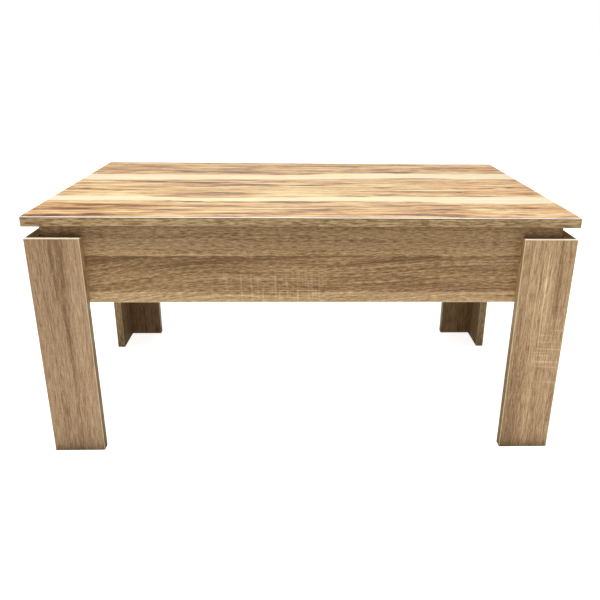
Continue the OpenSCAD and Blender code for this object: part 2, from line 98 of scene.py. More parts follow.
class Paint:
    """A Principled material. Its coordinates are the piece's own, so its pattern stays on the piece."""

    def __init__(self, name):
        self.material = bpy.data.materials.new(name)
        self.material.use_nodes = True
        self.tree = self.material.node_tree
        self.tree.nodes.clear()
        self.shader = self.node("ShaderNodeBsdfPrincipled")
        output = self.node("ShaderNodeOutputMaterial")
        self.tree.links.new(self.shader.outputs[0], output.inputs["Surface"])
        place = self.node("ShaderNodeTexCoord")
        self.x, self.y, self.z = self.parts(place.outputs["Object"])
        self.nx, self.ny, self.nz = self.parts(place.outputs["Normal"])

    def node(self, kind, **settings):
        made = self.tree.nodes.new(kind)
        for key, value in settings.items():
            setattr(made, key, value)
        return made

    def feed(self, socket, value):
        """Links a field or a node's output to the socket, or sets a plain number or colour on it."""
        if isinstance(value, Field):
            value = value.socket
        if isinstance(value, bpy.types.NodeSocket):
            self.tree.links.new(value, socket)
        else:
            socket.default_value = value

    def parts(self, vector):
        made = self.node("ShaderNodeSeparateXYZ")
        self.feed(made.inputs[0], vector)
        return [Field(self, output) for output in made.outputs]

    def math(self, operation, *values):
        made = self.node("ShaderNodeMath", operation=operation)
        for socket, value in zip(made.inputs, values):
            self.feed(socket, value)
        return Field(self, made.outputs[0])

    def vector(self, x, y, z=0.0):
        made = self.node("ShaderNodeCombineXYZ")
        for socket, value in zip(made.inputs, (x, y, z)):
            self.feed(socket, value)
        return made.outputs[0]

    def noise(self, x, y, z=0.0, detail=2.0, roughness=0.5):
        """Noise from 0 to 1 with features of about one unit of x, y and z. A caller multiplies its
        coordinates by the number of features that it wants per metre."""
        made = self.node("ShaderNodeTexNoise")
        self.feed(made.inputs["Vector"], self.vector(x, y, z))
        made.inputs["Scale"].default_value = 1.0
        made.inputs["Detail"].default_value = detail
        made.inputs["Roughness"].default_value = roughness
        return Field(self, made.outputs["Fac"])

    def swing(self, *place_and_detail):
        """The same noise, from -0.5 to 0.5."""
        return self.noise(*place_and_detail) - 0.5

    def even_swing(self, scale, *detail):
        """Noise from -0.5 to 0.5 with that many features per metre in every direction."""
        return self.swing(self.x * scale, self.y * scale, self.z * scale, *detail)

    def step(self, value, low, high):
        """0 below low, 1 above high, and smooth between. With low above high it falls instead."""
        made = self.node("ShaderNodeMapRange", interpolation_type="SMOOTHSTEP")
        ends = (0.0, 1.0) if low < high else (1.0, 0.0)
        for socket, number in zip(made.inputs, (value, min(low, high), max(low, high), *ends)):
            self.feed(socket, number)
        return Field(self, made.outputs[0])

    def contour(self, value, half_width, sharp):
        """Thin lines where value passes 0: 1 where it is nearer than sharp, and 0 beyond half_width."""
        return self.step(abs(value), half_width, sharp)

    def ramp(self, value, stops):
        """A colour that follows straight lines between (place, colour) stops, with places from 0 to 1."""
        made = self.node("ShaderNodeValToRGB")
        elements = made.color_ramp.elements
        while len(elements) < len(stops):
            elements.new(0.5)
        for element, (at, tint) in zip(elements, stops):
            element.position, element.color = at, tint
        self.feed(made.inputs[0], value)
        return made.outputs[0]

    def curve(self, value, stops):
        """A number that follows straight lines between (place, number) stops, both from 0 to 1."""
        return Field(self, self.ramp(value, [(at, (n, n, n, 1.0)) for at, n in stops]))

    def mix(self, share, first, second, blend="MIX"):
        # The Mix node's sockets 6 and 7, and its output 2, are those for colours.
        made = self.node("ShaderNodeMix", data_type="RGBA", blend_type=blend)
        self.feed(made.inputs[0], share)
        self.feed(made.inputs[6], first)
        self.feed(made.inputs[7], second)
        return made.outputs[2]

    def times(self, first, second):
        """One colour times another."""
        return self.mix(1.0, first, second, "MULTIPLY")

    def shade(self, tint, factor):
        """The colour times a number that varies."""
        return self.times(tint, self.vector(factor, factor, factor))

    def finish(self, tint, roughness, height=None, depth=0.0001, **sockets):
        """Sets the shader. height is the bump, depth its size, and sockets are plain values, whose names
        have _ for a space."""
        self.feed(self.shader.inputs["Base Color"], tint)
        self.feed(self.shader.inputs["Roughness"], roughness)
        for name, value in sockets.items():
            self.shader.inputs[name.replace("_", " ")].default_value = value
        if height is not None:
            bump = self.node("ShaderNodeBump")
            bump.inputs["Distance"].default_value = depth
            self.feed(bump.inputs["Height"], height)
            self.feed(self.shader.inputs["Normal"], bump.outputs[0])
        return self.material


def chipboard(paint):
    """Colour of the raw core that shows at a cut edge or in a bore."""
    chips = paint.noise(paint.x * 420, paint.y * 420, paint.z * 420, 4, 0.7)
    return paint.ramp(chips, [(0.3, colour(96, 70, 44)), (0.5, colour(150, 118, 80)),
                              (0.72, colour(190, 160, 118))])


def streak(paint, u, v, centre, size, slope=0.0):
    """A soft ellipse with these half sizes, 1 in its middle and 0 outside, leaning by slope."""
    along = (u - centre[0]) / size[0]
    across = (v - (centre[1] - slope * centre[0]) - u * slope) / size[1]
    far = paint.math("SQRT", along * along + across * across)
    return paint.step(far, 1.0, 0.0)


# --------------------------------------------------------------------------------------------------------
# Light oak boards
# --------------------------------------------------------------------------------------------------------

OAK_DARK = colour(130, 101, 66)
OAK_MID = colour(163, 133, 94)
OAK_PALE = colour(191, 161, 119)
OAK_TONES = [(0.05, colour(104, 77, 48)), (0.3, OAK_DARK), (0.55, OAK_MID), (0.85, OAK_PALE),
             (1.0, colour(212, 184, 142))]
OAK_PORE = colour(92, 68, 44)

# Dashes per metre along a fibre. They are longer on the upright leg boards.
LEG_DASHES, BOARD_DASHES = 38, 75


class Oak:
    """The light oak print of one CAD board: long fibres along u, growth lines that wander across v, and open
    pores. The board's own touches come before apply(), which puts the print on the board."""

    def __init__(self, node, along, across, thin, seed, contrast, cast=PLAIN):
        self.node, self.seed, self.contrast, self.cast = node, seed, contrast, cast
        self.paint = paint = Paint(node + "_print")
        places = {"x": paint.x, "y": paint.y, "z": paint.z}
        normals = {"x": paint.nx, "y": paint.ny, "z": paint.nz}
        self.u, self.v = places[along], places[across]
        self.wide = paint.step(abs(normals[thin]), 0.5, 0.7)
        self.sway = paint.swing(self.u * 2.2, self.v * 9, seed, 2) * 0.022
        self.grain_v = self.v + self.sway
        self.tone = paint.swing(self.u * 1.5, self.grain_v * 22, seed + 3, 3, 0.55) * 0.32
        self.shifts = []
        self.dashes = LEG_DASHES if along == "z" else BOARD_DASHES

    def bend(self, amount):
        """Moves the growth lines across the board, as at a cathedral arch."""
        self.grain_v = self.grain_v + amount

    def tint(self, amount):
        """Makes the print paler, or darker where amount is below 0."""
        self.shifts.append(amount)

    def mark(self, centre, size, slope, amount, follow=None):
        """Tints a soft ellipse. With follow it sways with the growth lines, by that share."""
        v = self.v if follow is None else self.v + self.sway * follow
        self.tint(streak(self.paint, self.u, v, centre, size, slope) * amount)

    def saw_marks(self, u0, u1, v0, v1, amount, seed):
        """Pale ticks across the grain in one patch, as a band saw leaves them."""
        paint, u, v = self.paint, self.u, self.v
        ticks = paint.step(paint.noise(u * 150 + v * 7, v * 6, seed, 1), 0.55, 0.63)
        soft_u, soft_v = (u1 - u0) * 0.3, (v1 - v0) * 0.3
        patch = (paint.step(u, u0, u0 + soft_u) * paint.step(u, u1, u1 - soft_u)
                 * paint.step(v, v0, v0 + soft_v) * paint.step(v, v1, v1 - soft_v))
        self.tint(ticks * patch * amount)

    def apply(self):
        """Adds up growth lines, rippled dashes, flecks, thin dark contours and the board's own touches."""
        paint, u, v, seed, contrast = self.paint, self.u, self.v, self.seed, self.contrast
        lines = paint.swing(u * 2.2, self.grain_v * 120, seed + 5, 3, 0.6) * 0.30
        ripple = paint.swing(u * 60, v * 60, seed + 6, 1) * 0.0016
        rippled = (self.grain_v + ripple) * 440
        fibres = paint.swing(u * self.dashes, rippled, seed + 7, 2, 0.5) * (1.5 * contrast)
        flecks = paint.swing(u * 170, v * 640, seed + 8, 2, 0.5) * 0.5
        growth = paint.contour(paint.swing(u * 1.1, self.grain_v * 34, seed + 10, 2, 0.5), 0.03, 0.004)
        fibres = fibres - growth * (0.17 * contrast)
        tone = 0.5 + self.tone + lines * contrast + fibres + flecks
        for amount in self.shifts:
            tone = tone + amount
        pores = paint.step(paint.noise(u * 70, v * 1500, seed + 9, 1), 0.64, 0.74)
        printed = paint.mix(pores * 0.35, paint.ramp(tone, OAK_TONES), OAK_PORE)
        printed = paint.times(printed, (*self.cast, 1.0))
        tint = paint.mix(self.wide, chipboard(paint), printed)
        roughness = 0.52 + lines * 0.1 + pores * 0.15
        height = fibres + lines * 0.6 - pores * 0.8
        material = paint.finish(tint, roughness, height, 0.00012, Specular_IOR_Level=0.2)
        nodes[self.node].material_slots[0].material = material


def front_apron():
    """A plain upper plank with painted shade along its top edge, a darker lower plank with bent growth lines
    and saw marks, and a pale edge.
    """
    low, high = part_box("front_apron")
    oak = Oak("front_apron", "x", "z", "y", 1.0, 0.88)
    paint = oak.paint

    # The seam between the two printed planks.
    seam = low.z + 0.089 + paint.swing(oak.u * 9, 0, 2, 2) * 0.006
    over_seam = oak.v - seam
    below = paint.step(over_seam, 0.001, -0.001)
    left_half = paint.step(oak.u, 0.05, -0.25)
    broken = paint.step(paint.noise(oak.u * 24, 0, 6, 2, 0.6), 0.36, 0.50)

    # The lower plank's growth lines fall towards the left, in two bends.
    oak.bend(below * paint.step(oak.u, -0.14, -0.46) * 0.036)
    oak.bend(below * paint.step(oak.u, 0.34, 0.02) * 0.020)

    oak.tint(0.05)
    # The lower plank's darker ground, and long lines that follow its bends.
    oak.tint(below * -0.12)
    oak.tint(below * paint.swing(oak.u * 4, oak.grain_v * 300, 21, 2, 0.5) * 0.85)
    # On the left, darker just under the seam and paler just over it.
    oak.tint(below * paint.step(over_seam, -0.050, 0.0) * left_half * -0.20)
    oak.tint((1 - below) * paint.step(over_seam, 0.035, 0.0) * left_half * 0.12)
    # Painted shade along the upper edge, under the top; the seam's broken line; and the paler lower edge.
    oak.tint(paint.step(oak.v, high.z - 0.016, high.z - 0.002) * -0.12)
    oak.tint(paint.step(abs(over_seam), 0.0026, 0.0) * -0.34 * broken)
    oak.tint(paint.step(oak.v, low.z + 0.0215, low.z + 0.018) * 0.26)
    for along, up, size, slope, amount in ((0.20, 0.083, (0.16, 0.010), 0.03, -0.20),
                                           (0.26, 0.068, (0.20, 0.008), 0.02, -0.16),
                                           (0.20, 0.034, (0.24, 0.010), 0.0, -0.12)):
        oak.mark((along, low.z + up), size, slope, amount)
    oak.saw_marks(-0.21, 0.07, low.z - 0.008, low.z + 0.066, 0.18, 4.0)
    oak.saw_marks(-0.05, 0.06, low.z - 0.008, low.z + 0.080, 0.14, 9.0)
    oak.apply()


def plain_board(node, along, across, thin, seed):
    """The same print with a faint patch of saw marks. The rear left leg's print is darkened with painted
    shade, as in the photo.
    """
    # Painted shade on the rear left leg's boards.
    cast = (0.90, 0.86, 0.88) if node.startswith("rear_left") else PLAIN
    oak = Oak(node, along, across, thin, seed, 0.8, cast)
    low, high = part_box(node)
    middle = ((low + high) / 2)[AXES[along]]
    width = AXES[across]
    oak.saw_marks(middle - 0.12, middle + 0.08, low[width], high[width], 0.10, seed)
    oak.apply()


def front_left_leg():
    """A dark heart that leans down the board, and paler fibres on its inner side."""
    low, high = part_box("front_left_leg_face_board")
    oak = Oak("front_left_leg_face_board", "z", "x", "y", 12.0, 0.65, (0.93, 0.93, 1.05))
    heart = (low.x + high.x) / 2 + 0.004
    for up, beside, size, slope, amount in (
            (0.40, 0.009, (0.20, 0.008), 0.01, -0.20), (0.42, -0.008, (0.16, 0.005), -0.02, -0.16),
            (0.40, 0.0, (0.22, 0.020), -0.01, -0.08), (0.27, 0.004, (0.09, 0.007), -0.10, -0.11),
            (0.20, 0.006, (0.13, 0.010), -0.05, -0.12), (0.09, -0.022, (0.12, 0.008), 0.02, -0.14)):
        oak.mark((up, heart + beside), size, slope, amount)
    oak.tint(oak.paint.step(oak.v, heart + 0.012, heart + 0.026) * 0.10)
    oak.apply()


def front_right_leg():
    """Thin pale lines in its upper half, saw marks lower down, and a darker inner third at its foot."""
    low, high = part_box("front_right_leg_face_board")
    oak = Oak("front_right_leg_face_board", "z", "x", "y", 13.0, 0.65, (1.22, 1.26, 1.42))
    oak.tint(oak.paint.step(oak.v, low.x + 0.045, low.x + 0.015) * oak.paint.step(oak.u, 0.36, 0.1) * -0.24)
    for up, inwards, size, slope, amount in (
            (0.34, 0.022, (0.14, 0.007), -0.03, -0.24), (0.33, 0.045, (0.16, 0.012), -0.02, 0.10),
            (0.10, 0.006, (0.12, 0.010), 0.0, -0.2)):
        oak.mark((up, high.x - inwards), size, slope, amount)
    for inwards, width, amount in (
            (0.062, 0.0022, 0.30), (0.055, 0.0016, 0.24), (0.047, 0.0026, 0.34), (0.039, 0.0018, 0.26)):
        oak.mark((0.32, high.x - inwards), (0.15, width), -0.012, amount, follow=0.3)
    oak.saw_marks(0.10, 0.32, low.x + 0.038, high.x + 0.01, 0.19, 14.0)
    oak.apply()


front_apron()
for node, along, across, thin, seed in (
        ("rear_apron", "x", "z", "y", 2.0), ("left_side_panel", "y", "z", "x", 3.0),
        ("right_side_panel", "y", "z", "x", 4.0), ("bottom_panel", "x", "y", "z", 5.0),
        ("front_left_leg_side_board", "z", "y", "x", 6.0), ("front_right_leg_side_board", "z", "y", "x", 7.0),
        ("rear_left_leg_side_board", "z", "y", "x", 8.0), ("rear_right_leg_side_board", "z", "y", "x", 9.0),
        ("rear_left_leg_face_board", "z", "x", "y", 10.0),
        ("rear_right_leg_face_board", "z", "x", "y", 11.0)):
    plain_board(node, along, across, thin, seed)
front_left_leg()
front_right_leg()


# --------------------------------------------------------------------------------------------------------
# Laminated top
# --------------------------------------------------------------------------------------------------------

# The lamps show the top this much brighter than its print, whose dark strips are darkened to make up for it.
TOP_LIGHT = 1.27

# Upper and lower edges of the cream strips, as (place from left, place from back), and how soft they are.
LAMINATE_STRIPS = (
    ([(0.0, 0.295), (0.35, 0.300), (0.5, 0.290), (0.57, 0.255), (0.7, 0.240), (0.87, 0.255), (1.0, 0.232)],
     [(0.0, 0.400), (0.25, 0.402), (0.38, 0.385), (0.58, 0.380), (0.68, 0.352), (0.82, 0.347), (1.0, 0.360)],
     0.006),
    ([(0.0, 0.700), (0.17, 0.700), (0.27, 0.733), (0.42, 0.716), (0.6, 0.708), (0.68, 0.697), (1.0, 0.694)],
     [(0.0, 0.768), (0.3, 0.778), (0.6, 0.770), (0.73, 0.775), (0.79, 0.802), (0.9, 0.802), (1.0, 0.790)],
     0.004),
)

# Dark figure in the print: centre, half sizes, slope and strength.
LAMINATE_MARKS = (
    ((0.15, 0.180), (0.11, 0.050), 0.0, 0.45), ((0.22, 0.235), (0.05, 0.035), 0.1, 0.4),
    ((0.40, 0.215), (0.15, 0.012), 0.0, 0.9), ((0.36, 0.235), (0.07, 0.020), 0.0, 0.5),
    ((0.70, 0.160), (0.05, 0.045), 0.0, 0.55), ((0.72, 0.205), (0.09, 0.020), 0.0, 0.6),
    ((0.78, 0.170), (0.02, 0.030), 0.0, 0.6), ((0.90, 0.175), (0.12, 0.025), 0.0, 0.5),
    ((0.92, 0.065), (0.09, 0.030), 0.05, 0.35), ((0.55, 0.08), (0.12, 0.02), 0.0, 0.25),
    ((0.25, 0.460), (0.15, 0.045), 0.12, 0.65), ((0.13, 0.450), (0.02, 0.025), 0.0, 0.5),
    ((0.22, 0.452), (0.06, 0.016), 0.05, 0.7), ((0.38, 0.495), (0.11, 0.034), 0.10, 0.8),
    ((0.51, 0.508), (0.075, 0.020), -0.04, 1.9), ((0.57, 0.485), (0.06, 0.013), -0.15, 0.8),
    ((0.63, 0.458), (0.04, 0.010), -0.15, 0.5), ((0.90, 0.545), (0.035, 0.011), -0.2, 0.7),
    ((0.95, 0.530), (0.02, 0.010), 0.0, 0.7), ((0.97, 0.640), (0.035, 0.014), 0.0, 0.8),
    ((0.76, 0.612), (0.13, 0.026), -0.1, 0.35), ((0.60, 0.650), (0.08, 0.010), 0.0, 0.3),
    ((0.05, 0.690), (0.08, 0.006), 0.0, 0.7), ((0.40, 0.790), (0.15, 0.009), 0.0, 0.8),
    ((0.53, 0.795), (0.03, 0.007), 0.0, 0.6), ((0.78, 0.885), (0.05, 0.022), 0.0, 0.9),
    ((0.68, 0.885), (0.13, 0.011), 0.0, 0.6), ((0.90, 0.895), (0.13, 0.008), 0.0, 0.7),
    ((0.70, 0.960), (0.13, 0.010), 0.0, 0.7), ((0.77, 0.972), (0.04, 0.010), 0.0, 0.8),
    ((0.40, 0.955), (0.09, 0.008), 0.0, 0.45), ((0.06, 0.900), (0.09, 0.020), 0.0, 0.55),
    ((0.03, 0.970), (0.05, 0.020), 0.0, 1.1), ((0.12, 0.960), (0.03, 0.020), 0.0, 0.9),
    ((0.25, 0.900), (0.11, 0.018), -0.05, 0.45), ((0.20, 0.850), (0.13, 0.018), 0.0, 0.35),
)

LAMINATE_TONES = [(0.0, colour(112, 74, 56)), (0.16, colour(164, 114, 74)), (0.34, colour(210, 158, 102)),
                  (0.52, colour(235, 190, 134)), (0.72, colour(250, 218, 162)), (1.0, colour(255, 242, 196))]
CREAM_TONES = [(0.2, colour(232, 200, 140)), (0.5, colour(241, 222, 172)), (0.8, colour(247, 236, 200))]
LAMINATE_WARM = colour(214, 158, 100)
LAMINATE_PORE = colour(132, 90, 60)

# Casts of the dark strips and of the cream strips, in the middle of the table and near its two ends, and
# how much the ends' casts apply along the table.
DARK_CASTS = (1.0, 0.965, 0.82, 1.0), (1.17, 1.17, 1.22, 1.0)
CREAM_CASTS = (1.0, 0.94, 1.0, 1.0), (1.0, 1.05, 1.28, 1.0)
LAMINATE_ENDS = [(0.0, 1.0), (0.2, 0.0), (0.76, 0.0), (0.9, 1.0)]


def laminate():
    """The multi-strip print of the top, with u from left to right and v from back to front, both from 0 to
    1. The top's underside is plain oak, and its edges and bores show the core."""
    low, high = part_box("top_board")
    paint = Paint("laminate_top_print")
    u = (paint.x - low.x) / (high.x - low.x)
    v = (high.y - paint.y) / (high.y - low.y)
    w = v + (paint.swing(u * 4, v * 7, 1, 3, 0.6) * 0.030 + paint.swing(u * 18, v * 30, 2, 4, 0.6) * 0.011)

    # The figure, from broad clouds down to fine fibres, and thin dark lines that come and go.
    broad = paint.swing(u * 2.6, w * 14, 3, 3, 0.6)
    lines = paint.swing(u * 5, w * 62, 4, 4, 0.7)
    figure = paint.swing(u * 5, w * 30, 12, 5, 0.72)
    fibres = paint.swing(u * 26, v * 240, 5, 3, 0.65)
    cracks = (paint.contour(paint.swing(u * 2.4, w * 18, 15, 3, 0.6), 0.020, 0.003)
              * paint.step(paint.noise(u * 7, w * 12, 16, 2), 0.45, 0.62))
    hairs = (paint.contour(paint.swing(u * 6, w * 52, 17, 4, 0.62), 0.030, 0.006)
             * paint.step(paint.noise(u * 9, w * 20, 18, 2), 0.40, 0.60))
    depth_tone = paint.curve(v, [(0.0, 0.46), (0.18, 0.42), (0.28, 0.47), (0.45, 0.52), (0.62, 0.55),
                                 (0.8, 0.46), (1.0, 0.44)])
    tone = depth_tone + broad * 0.7 + figure * 2.2 + lines * 2.6 + fibres * 1.5

    # The dark marks, broken up along the grain. Where two overlap, the darker one counts.
    broken = 0.80 + paint.swing(u * 9, w * 75, 6, 4, 0.7) * 3.8
    marks = None
    for centre, size, slope, strength in LAMINATE_MARKS:
        mark = streak(paint, u, w, centre, size, slope) * strength
        marks = mark if marks is None else paint.math("MAXIMUM", marks, mark)
    tone = tone - marks * broken * 0.75 - cracks * 0.55 - hairs * 0.26 + 0.03

    tint = paint.ramp(tone, LAMINATE_TONES)
    warm_depth = paint.curve(v, [(0.0, 0.2), (0.2, 0.5), (0.5, 0.35), (1.0, 0.7)])
    warm = paint.step(broad + lines * 0.5, 0.02, 0.25) * warm_depth
    tint = paint.mix(warm * 0.45, tint, LAMINATE_WARM)
    ends = paint.curve(u, LAMINATE_ENDS)
    tint = paint.times(tint, paint.mix(ends, *DARK_CASTS))
    tint = paint.shade(tint, 1 / TOP_LIGHT)

    rough_edge = paint.swing(u * 14, v * 60, 8, 3, 0.7) * 0.035
    cream = paint.ramp(0.5 + lines * 1.2 + fibres * 0.8, CREAM_TONES)
    cream = paint.times(cream, paint.mix(ends, *CREAM_CASTS))
    for upper, lower, soft in LAMINATE_STRIPS:
        inside = (paint.step(w + rough_edge - paint.curve(u, upper), -soft, soft)
                  * paint.step(w + rough_edge - paint.curve(u, lower), soft, -soft))
        tint = paint.mix(inside, tint, cream)

    pores = paint.step(paint.noise(u * 60, v * 900, 9, 1), 0.66, 0.76)
    tint = paint.mix(pores * 0.18, tint, LAMINATE_PORE)

    under = paint.ramp(0.5 + paint.swing(paint.x * 2, paint.y * 40, 10, 3) * 1.2 + fibres * 0.4,
                       [(0.2, OAK_DARK), (0.5, OAK_MID), (0.8, OAK_PALE)])
    tint = paint.mix(paint.step(paint.nz, 0.0, -0.5), tint, under)
    tint = paint.mix(paint.step(abs(paint.nz), 0.7, 0.5), tint, chipboard(paint))
    roughness = 0.42 + lines * 0.08 + pores * 0.1
    return paint.finish(tint, roughness, fibres + lines * 0.5, 0.00008, Specular_IOR_Level=0.15)


nodes["top_board"].material_slots[0].material = laminate()


# --------------------------------------------------------------------------------------------------------
# Edge bands
# --------------------------------------------------------------------------------------------------------

BAND_TONES = [(0.1, colour(112, 86, 48)), (0.4, colour(143, 115, 75)), (0.6, colour(161, 133, 91)),
              (0.9, colour(184, 158, 114))]
# Colours of the painted shade under a band's trimmed arris and of the painted shadow along its lower edge.
BAND_JOINT_SHADE = colour(78, 66, 42)
BAND_LOWER_SHADOW = colour(88, 68, 44)
ARRIS = 0.0009    # width of a band's trimmed edge


def band_print(name, grain, seed, light=1.0, board_top=None):
    """Olive brown band with short dashes along the grain. With board_top, the height of the board's upper
    face, a painted shade darkens the joint under the band's trimmed arris and a painted shadow its lower
    edge."""
    paint = Paint(name)
    axes = {"x": paint.x, "y": paint.y, "z": paint.z}
    u = axes.pop(grain)
    v, w = axes.values()
    dashes = paint.swing(u * 60, v * 540 + w * 31, w * 540 + seed, 3, 0.6)
    broad = paint.swing(u * 4, v * 90, w * 90 + seed, 2)
    tint = paint.ramp(0.5 + dashes * 2.9 + broad * 0.5, BAND_TONES)
    if light != 1.0:
        tint = paint.shade(tint, light)
    # Painted shade in the joint under the arris, and a painted shadow along the band's lower edge.
    if board_top is not None:
        joint_shade = paint.step(paint.z, board_top - 0.0032, board_top - 0.0012) * 0.75
        lower_shadow = paint.step(paint.z, board_top - 0.0160, board_top - 0.0172) * 0.85
        tint = paint.mix(joint_shade, tint, BAND_JOINT_SHADE)
        tint = paint.mix(lower_shadow, tint, BAND_LOWER_SHADOW)
    return paint.finish(tint, 0.5 + dashes * 0.15, dashes, 0.0001, Specular_IOR_Level=0.35)


def pale_core_and_highlight(name, red, green, blue, behind=None):
    """The pale core of a band, which shows where its arris is trimmed, and the painted highlights made of it.
    It is brown where it lies less than behind from the middle of the table, along y."""
    paint = Paint(name)
    drift = paint.even_swing(60, 3, 0.6)
    scrape = paint.even_swing(700, 2)
    tint = paint.shade(colour(red, green, blue), 1.0 + drift * 0.3 + scrape * 0.12)
    if behind is not None:
        tint = paint.mix(paint.step(abs(paint.y), behind, behind + 0.001), colour(140, 108, 70), tint)
    return paint.finish(tint, 0.6 + scrape * 0.2, scrape, 0.00005, Specular_IOR_Level=0.05)


def solids(node):
    """Lowest and highest corner of each separate solid in a CAD node."""
    mesh = bmesh.new()
    mesh.from_mesh(nodes[node].data)
    bmesh.ops.remove_doubles(mesh, verts=mesh.verts, dist=SAME_PLACE)
    found, seen = [], set()
    for start in mesh.verts:
        if start in seen:
            continue
        island, waiting = [], [start]
        seen.add(start)
        while waiting:
            vertex = waiting.pop()
            island.append(vertex.co.copy())
            for edge in vertex.link_edges:
                other = edge.other_vert(vertex)
                if other not in seen:
                    seen.add(other)
                    waiting.append(other)
        found.append((Vector(map(min, zip(*island))), Vector(map(max, zip(*island)))))
    mesh.free()
    return found


def new_piece(name, mesh, materials, body, node, smooth=None):
    """Makes an object of a bmesh, rides it on its body if there is one, and lets it stand for its CAD node.
    smooth is for the whole piece, and without it each face keeps the shading that it has."""
    bmesh.ops.recalc_face_normals(mesh, faces=mesh.faces[:])
    data = bpy.data.meshes.new(name)
    mesh.to_mesh(data)
    mesh.free()
    for material in materials:
        data.materials.append(material)
    if smooth is not None:
        data.polygons.foreach_set("use_smooth", [smooth] * len(data.polygons))
    piece = bpy.data.objects.new(name, data)
    bpy.context.scene.collection.objects.link(piece)
    if body:
        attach(piece, body)
    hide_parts(node)
    return piece


def banding(node, materials, around, body, painted_highlight_top=False):
    """Rebuilds a node of glued bands. Each band's outer arrises are scraped round, and its cut thickness
    shows paler, but the lower arrises of a band that stands on its edge keep the print as painted shade.
    materials are the print, the core and, for the legs, the painted highlight on the upper faces of their
    bands. around is the box of the boards with their bands."""
    printed, bare, highlight_up = 0, 1, 2
    low, high = around
    middle = (low + high) / 2
    mesh = bmesh.new()
    for lowest, highest in solids(node):
        size = highest - lowest
        thin = min(range(3), key=lambda axis: size[axis])
        long = max(range(3), key=lambda axis: size[axis])
        third = 3 - thin - long
        outwards = (lowest[thin] + highest[thin]) / 2 > middle[thin]
        outer = highest[thin] if outwards else lowest[thin]
        made = bmesh.ops.create_cube(mesh, size=1.0)["verts"]
        for vertex in made:
            vertex.co = Vector(highest[axis] if vertex.co[axis] > 0 else lowest[axis] for axis in range(3))
        faces = {face for vertex in made for face in vertex.link_faces}
        # Painted highlight: the outer upward faces of a leg's bands take the pale material.
        wide = highlight_up if painted_highlight_top and thin == AXES["z"] and outwards else printed
        for face in faces:
            face.normal_update()
            across = max(range(3), key=lambda axis: abs(face.normal[axis]))
            face.material_index = bare if across == third else wide
        arrises = []
        for edge in {edge for vertex in made for edge in vertex.link_edges}:
            first, second = (vertex.co for vertex in edge.verts)
            if max(abs(first[thin] - outer), abs(second[thin] - outer)) > SAME_PLACE:
                continue
            at_end = abs(first[long] - second[long]) < SAME_PLACE
            exposed = min(abs(first[long] - low[long]), abs(first[long] - high[long])) < 10 * SAME_PLACE
            if not at_end or exposed:
                arrises.append(edge)
        kept = set(mesh.faces) - faces
        bmesh.ops.bevel(mesh, geom=arrises, offset=ARRIS, segments=3, profile=0.6, affect="EDGES",
                        material=bare, clamp_overlap=True)
        # Painted shade: the lower arrises of a band that stands on its edge keep the darker print, not the
        # pale core.
        if third == AXES["z"]:
            for face in set(mesh.faces) - kept:
                if face.calc_center_median().z < lowest.z + ARRIS:
                    face.material_index = printed
    new_piece(node + "_scraped", mesh, materials, body, node, smooth=False)


def joined(first, second):
    """The box round two boxes."""
    return tuple(Vector(map(pick, *corners)) for pick, corners in zip((min, max), zip(first, second)))


core = pale_core_and_highlight("band_core", 214, 196, 158)
# The top's upper arris: the laminate's pale trimmed core, painted whiter as a highlight.
white_core_and_highlight = pale_core_and_highlight("top_band_core_and_highlight", 252, 252, 248)

# The painted highlight, a pale strip on a leg's top, reaches back to this distance from the middle of the
# table.
HIGHLIGHT_FROM = 0.0105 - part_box("front_left_leg_face_board")[1].y
leg_highlight = pale_core_and_highlight("leg_top_painted_highlight", 254, 250, 238, HIGHLIGHT_FROM)

top_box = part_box("top_board")
top_band_x = band_print("top_band_along_x", "x", 1.0, board_top=top_box[1].z)
top_band_y = band_print("top_band_along_y", "y", 2.0, board_top=top_box[1].z)
for side, grain in (("front", top_band_x), ("rear", top_band_x), ("left", top_band_y), ("right", top_band_y)):
    node = f"top_{side}_edge_band"
    banding(node, [grain, white_core_and_highlight], joined(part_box(node), top_box), "top")

box_band = band_print("box_band_along_x", "x", 3.0)
banding("box_edge_bands", [box_band, core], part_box("box_edge_bands"), "box")

leg_band = band_print("leg_band_along_z", "z", 4.0, light=1.15)
for leg in ("front_left", "front_right", "rear_left", "rear_right"):
    node = f"{leg}_leg_edge_bands"
    banding(node, [leg_band, core, leg_highlight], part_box(node), "box", painted_highlight_top=True)


# --------------------------------------------------------------------------------------------------------
# Metal, nylon and beech fittings
# --------------------------------------------------------------------------------------------------------

def zinc_plate(name, red, green, blue, roughness):
    """Bright plating with faint brushing, and a hint of yellow where the passivation is thicker."""
    paint = Paint(name)
    cloud = paint.even_swing(90, 3, 0.6)
    brushing = paint.swing(paint.x * 2600, paint.y * 500, paint.z * 500, 2)
    tint = paint.mix(paint.step(cloud, 0.0, 0.3) * 0.35, colour(red, green, blue), colour(206, 200, 172))
    tint = paint.shade(tint, 1.0 + brushing * 0.25 + cloud * 0.2)
    return paint.finish(tint, roughness + cloud * 0.25 + brushing * 0.15, brushing, 0.00003, Metallic=1.0)


def powder_coat():
    """Black powder coat: an even orange peel, slightly greyer where it is thin."""
    paint = Paint("powder_coat_black")
    peel = paint.even_swing(1500, 2)
    cloud = paint.even_swing(40, 3, 0.6)
    tint = paint.shade(colour(42, 42, 44), 1.0 + cloud * 0.7 + peel * 0.3)
    return paint.finish(tint, 0.42 + peel * 0.3, peel, 0.00006, Specular_IOR_Level=0.5)


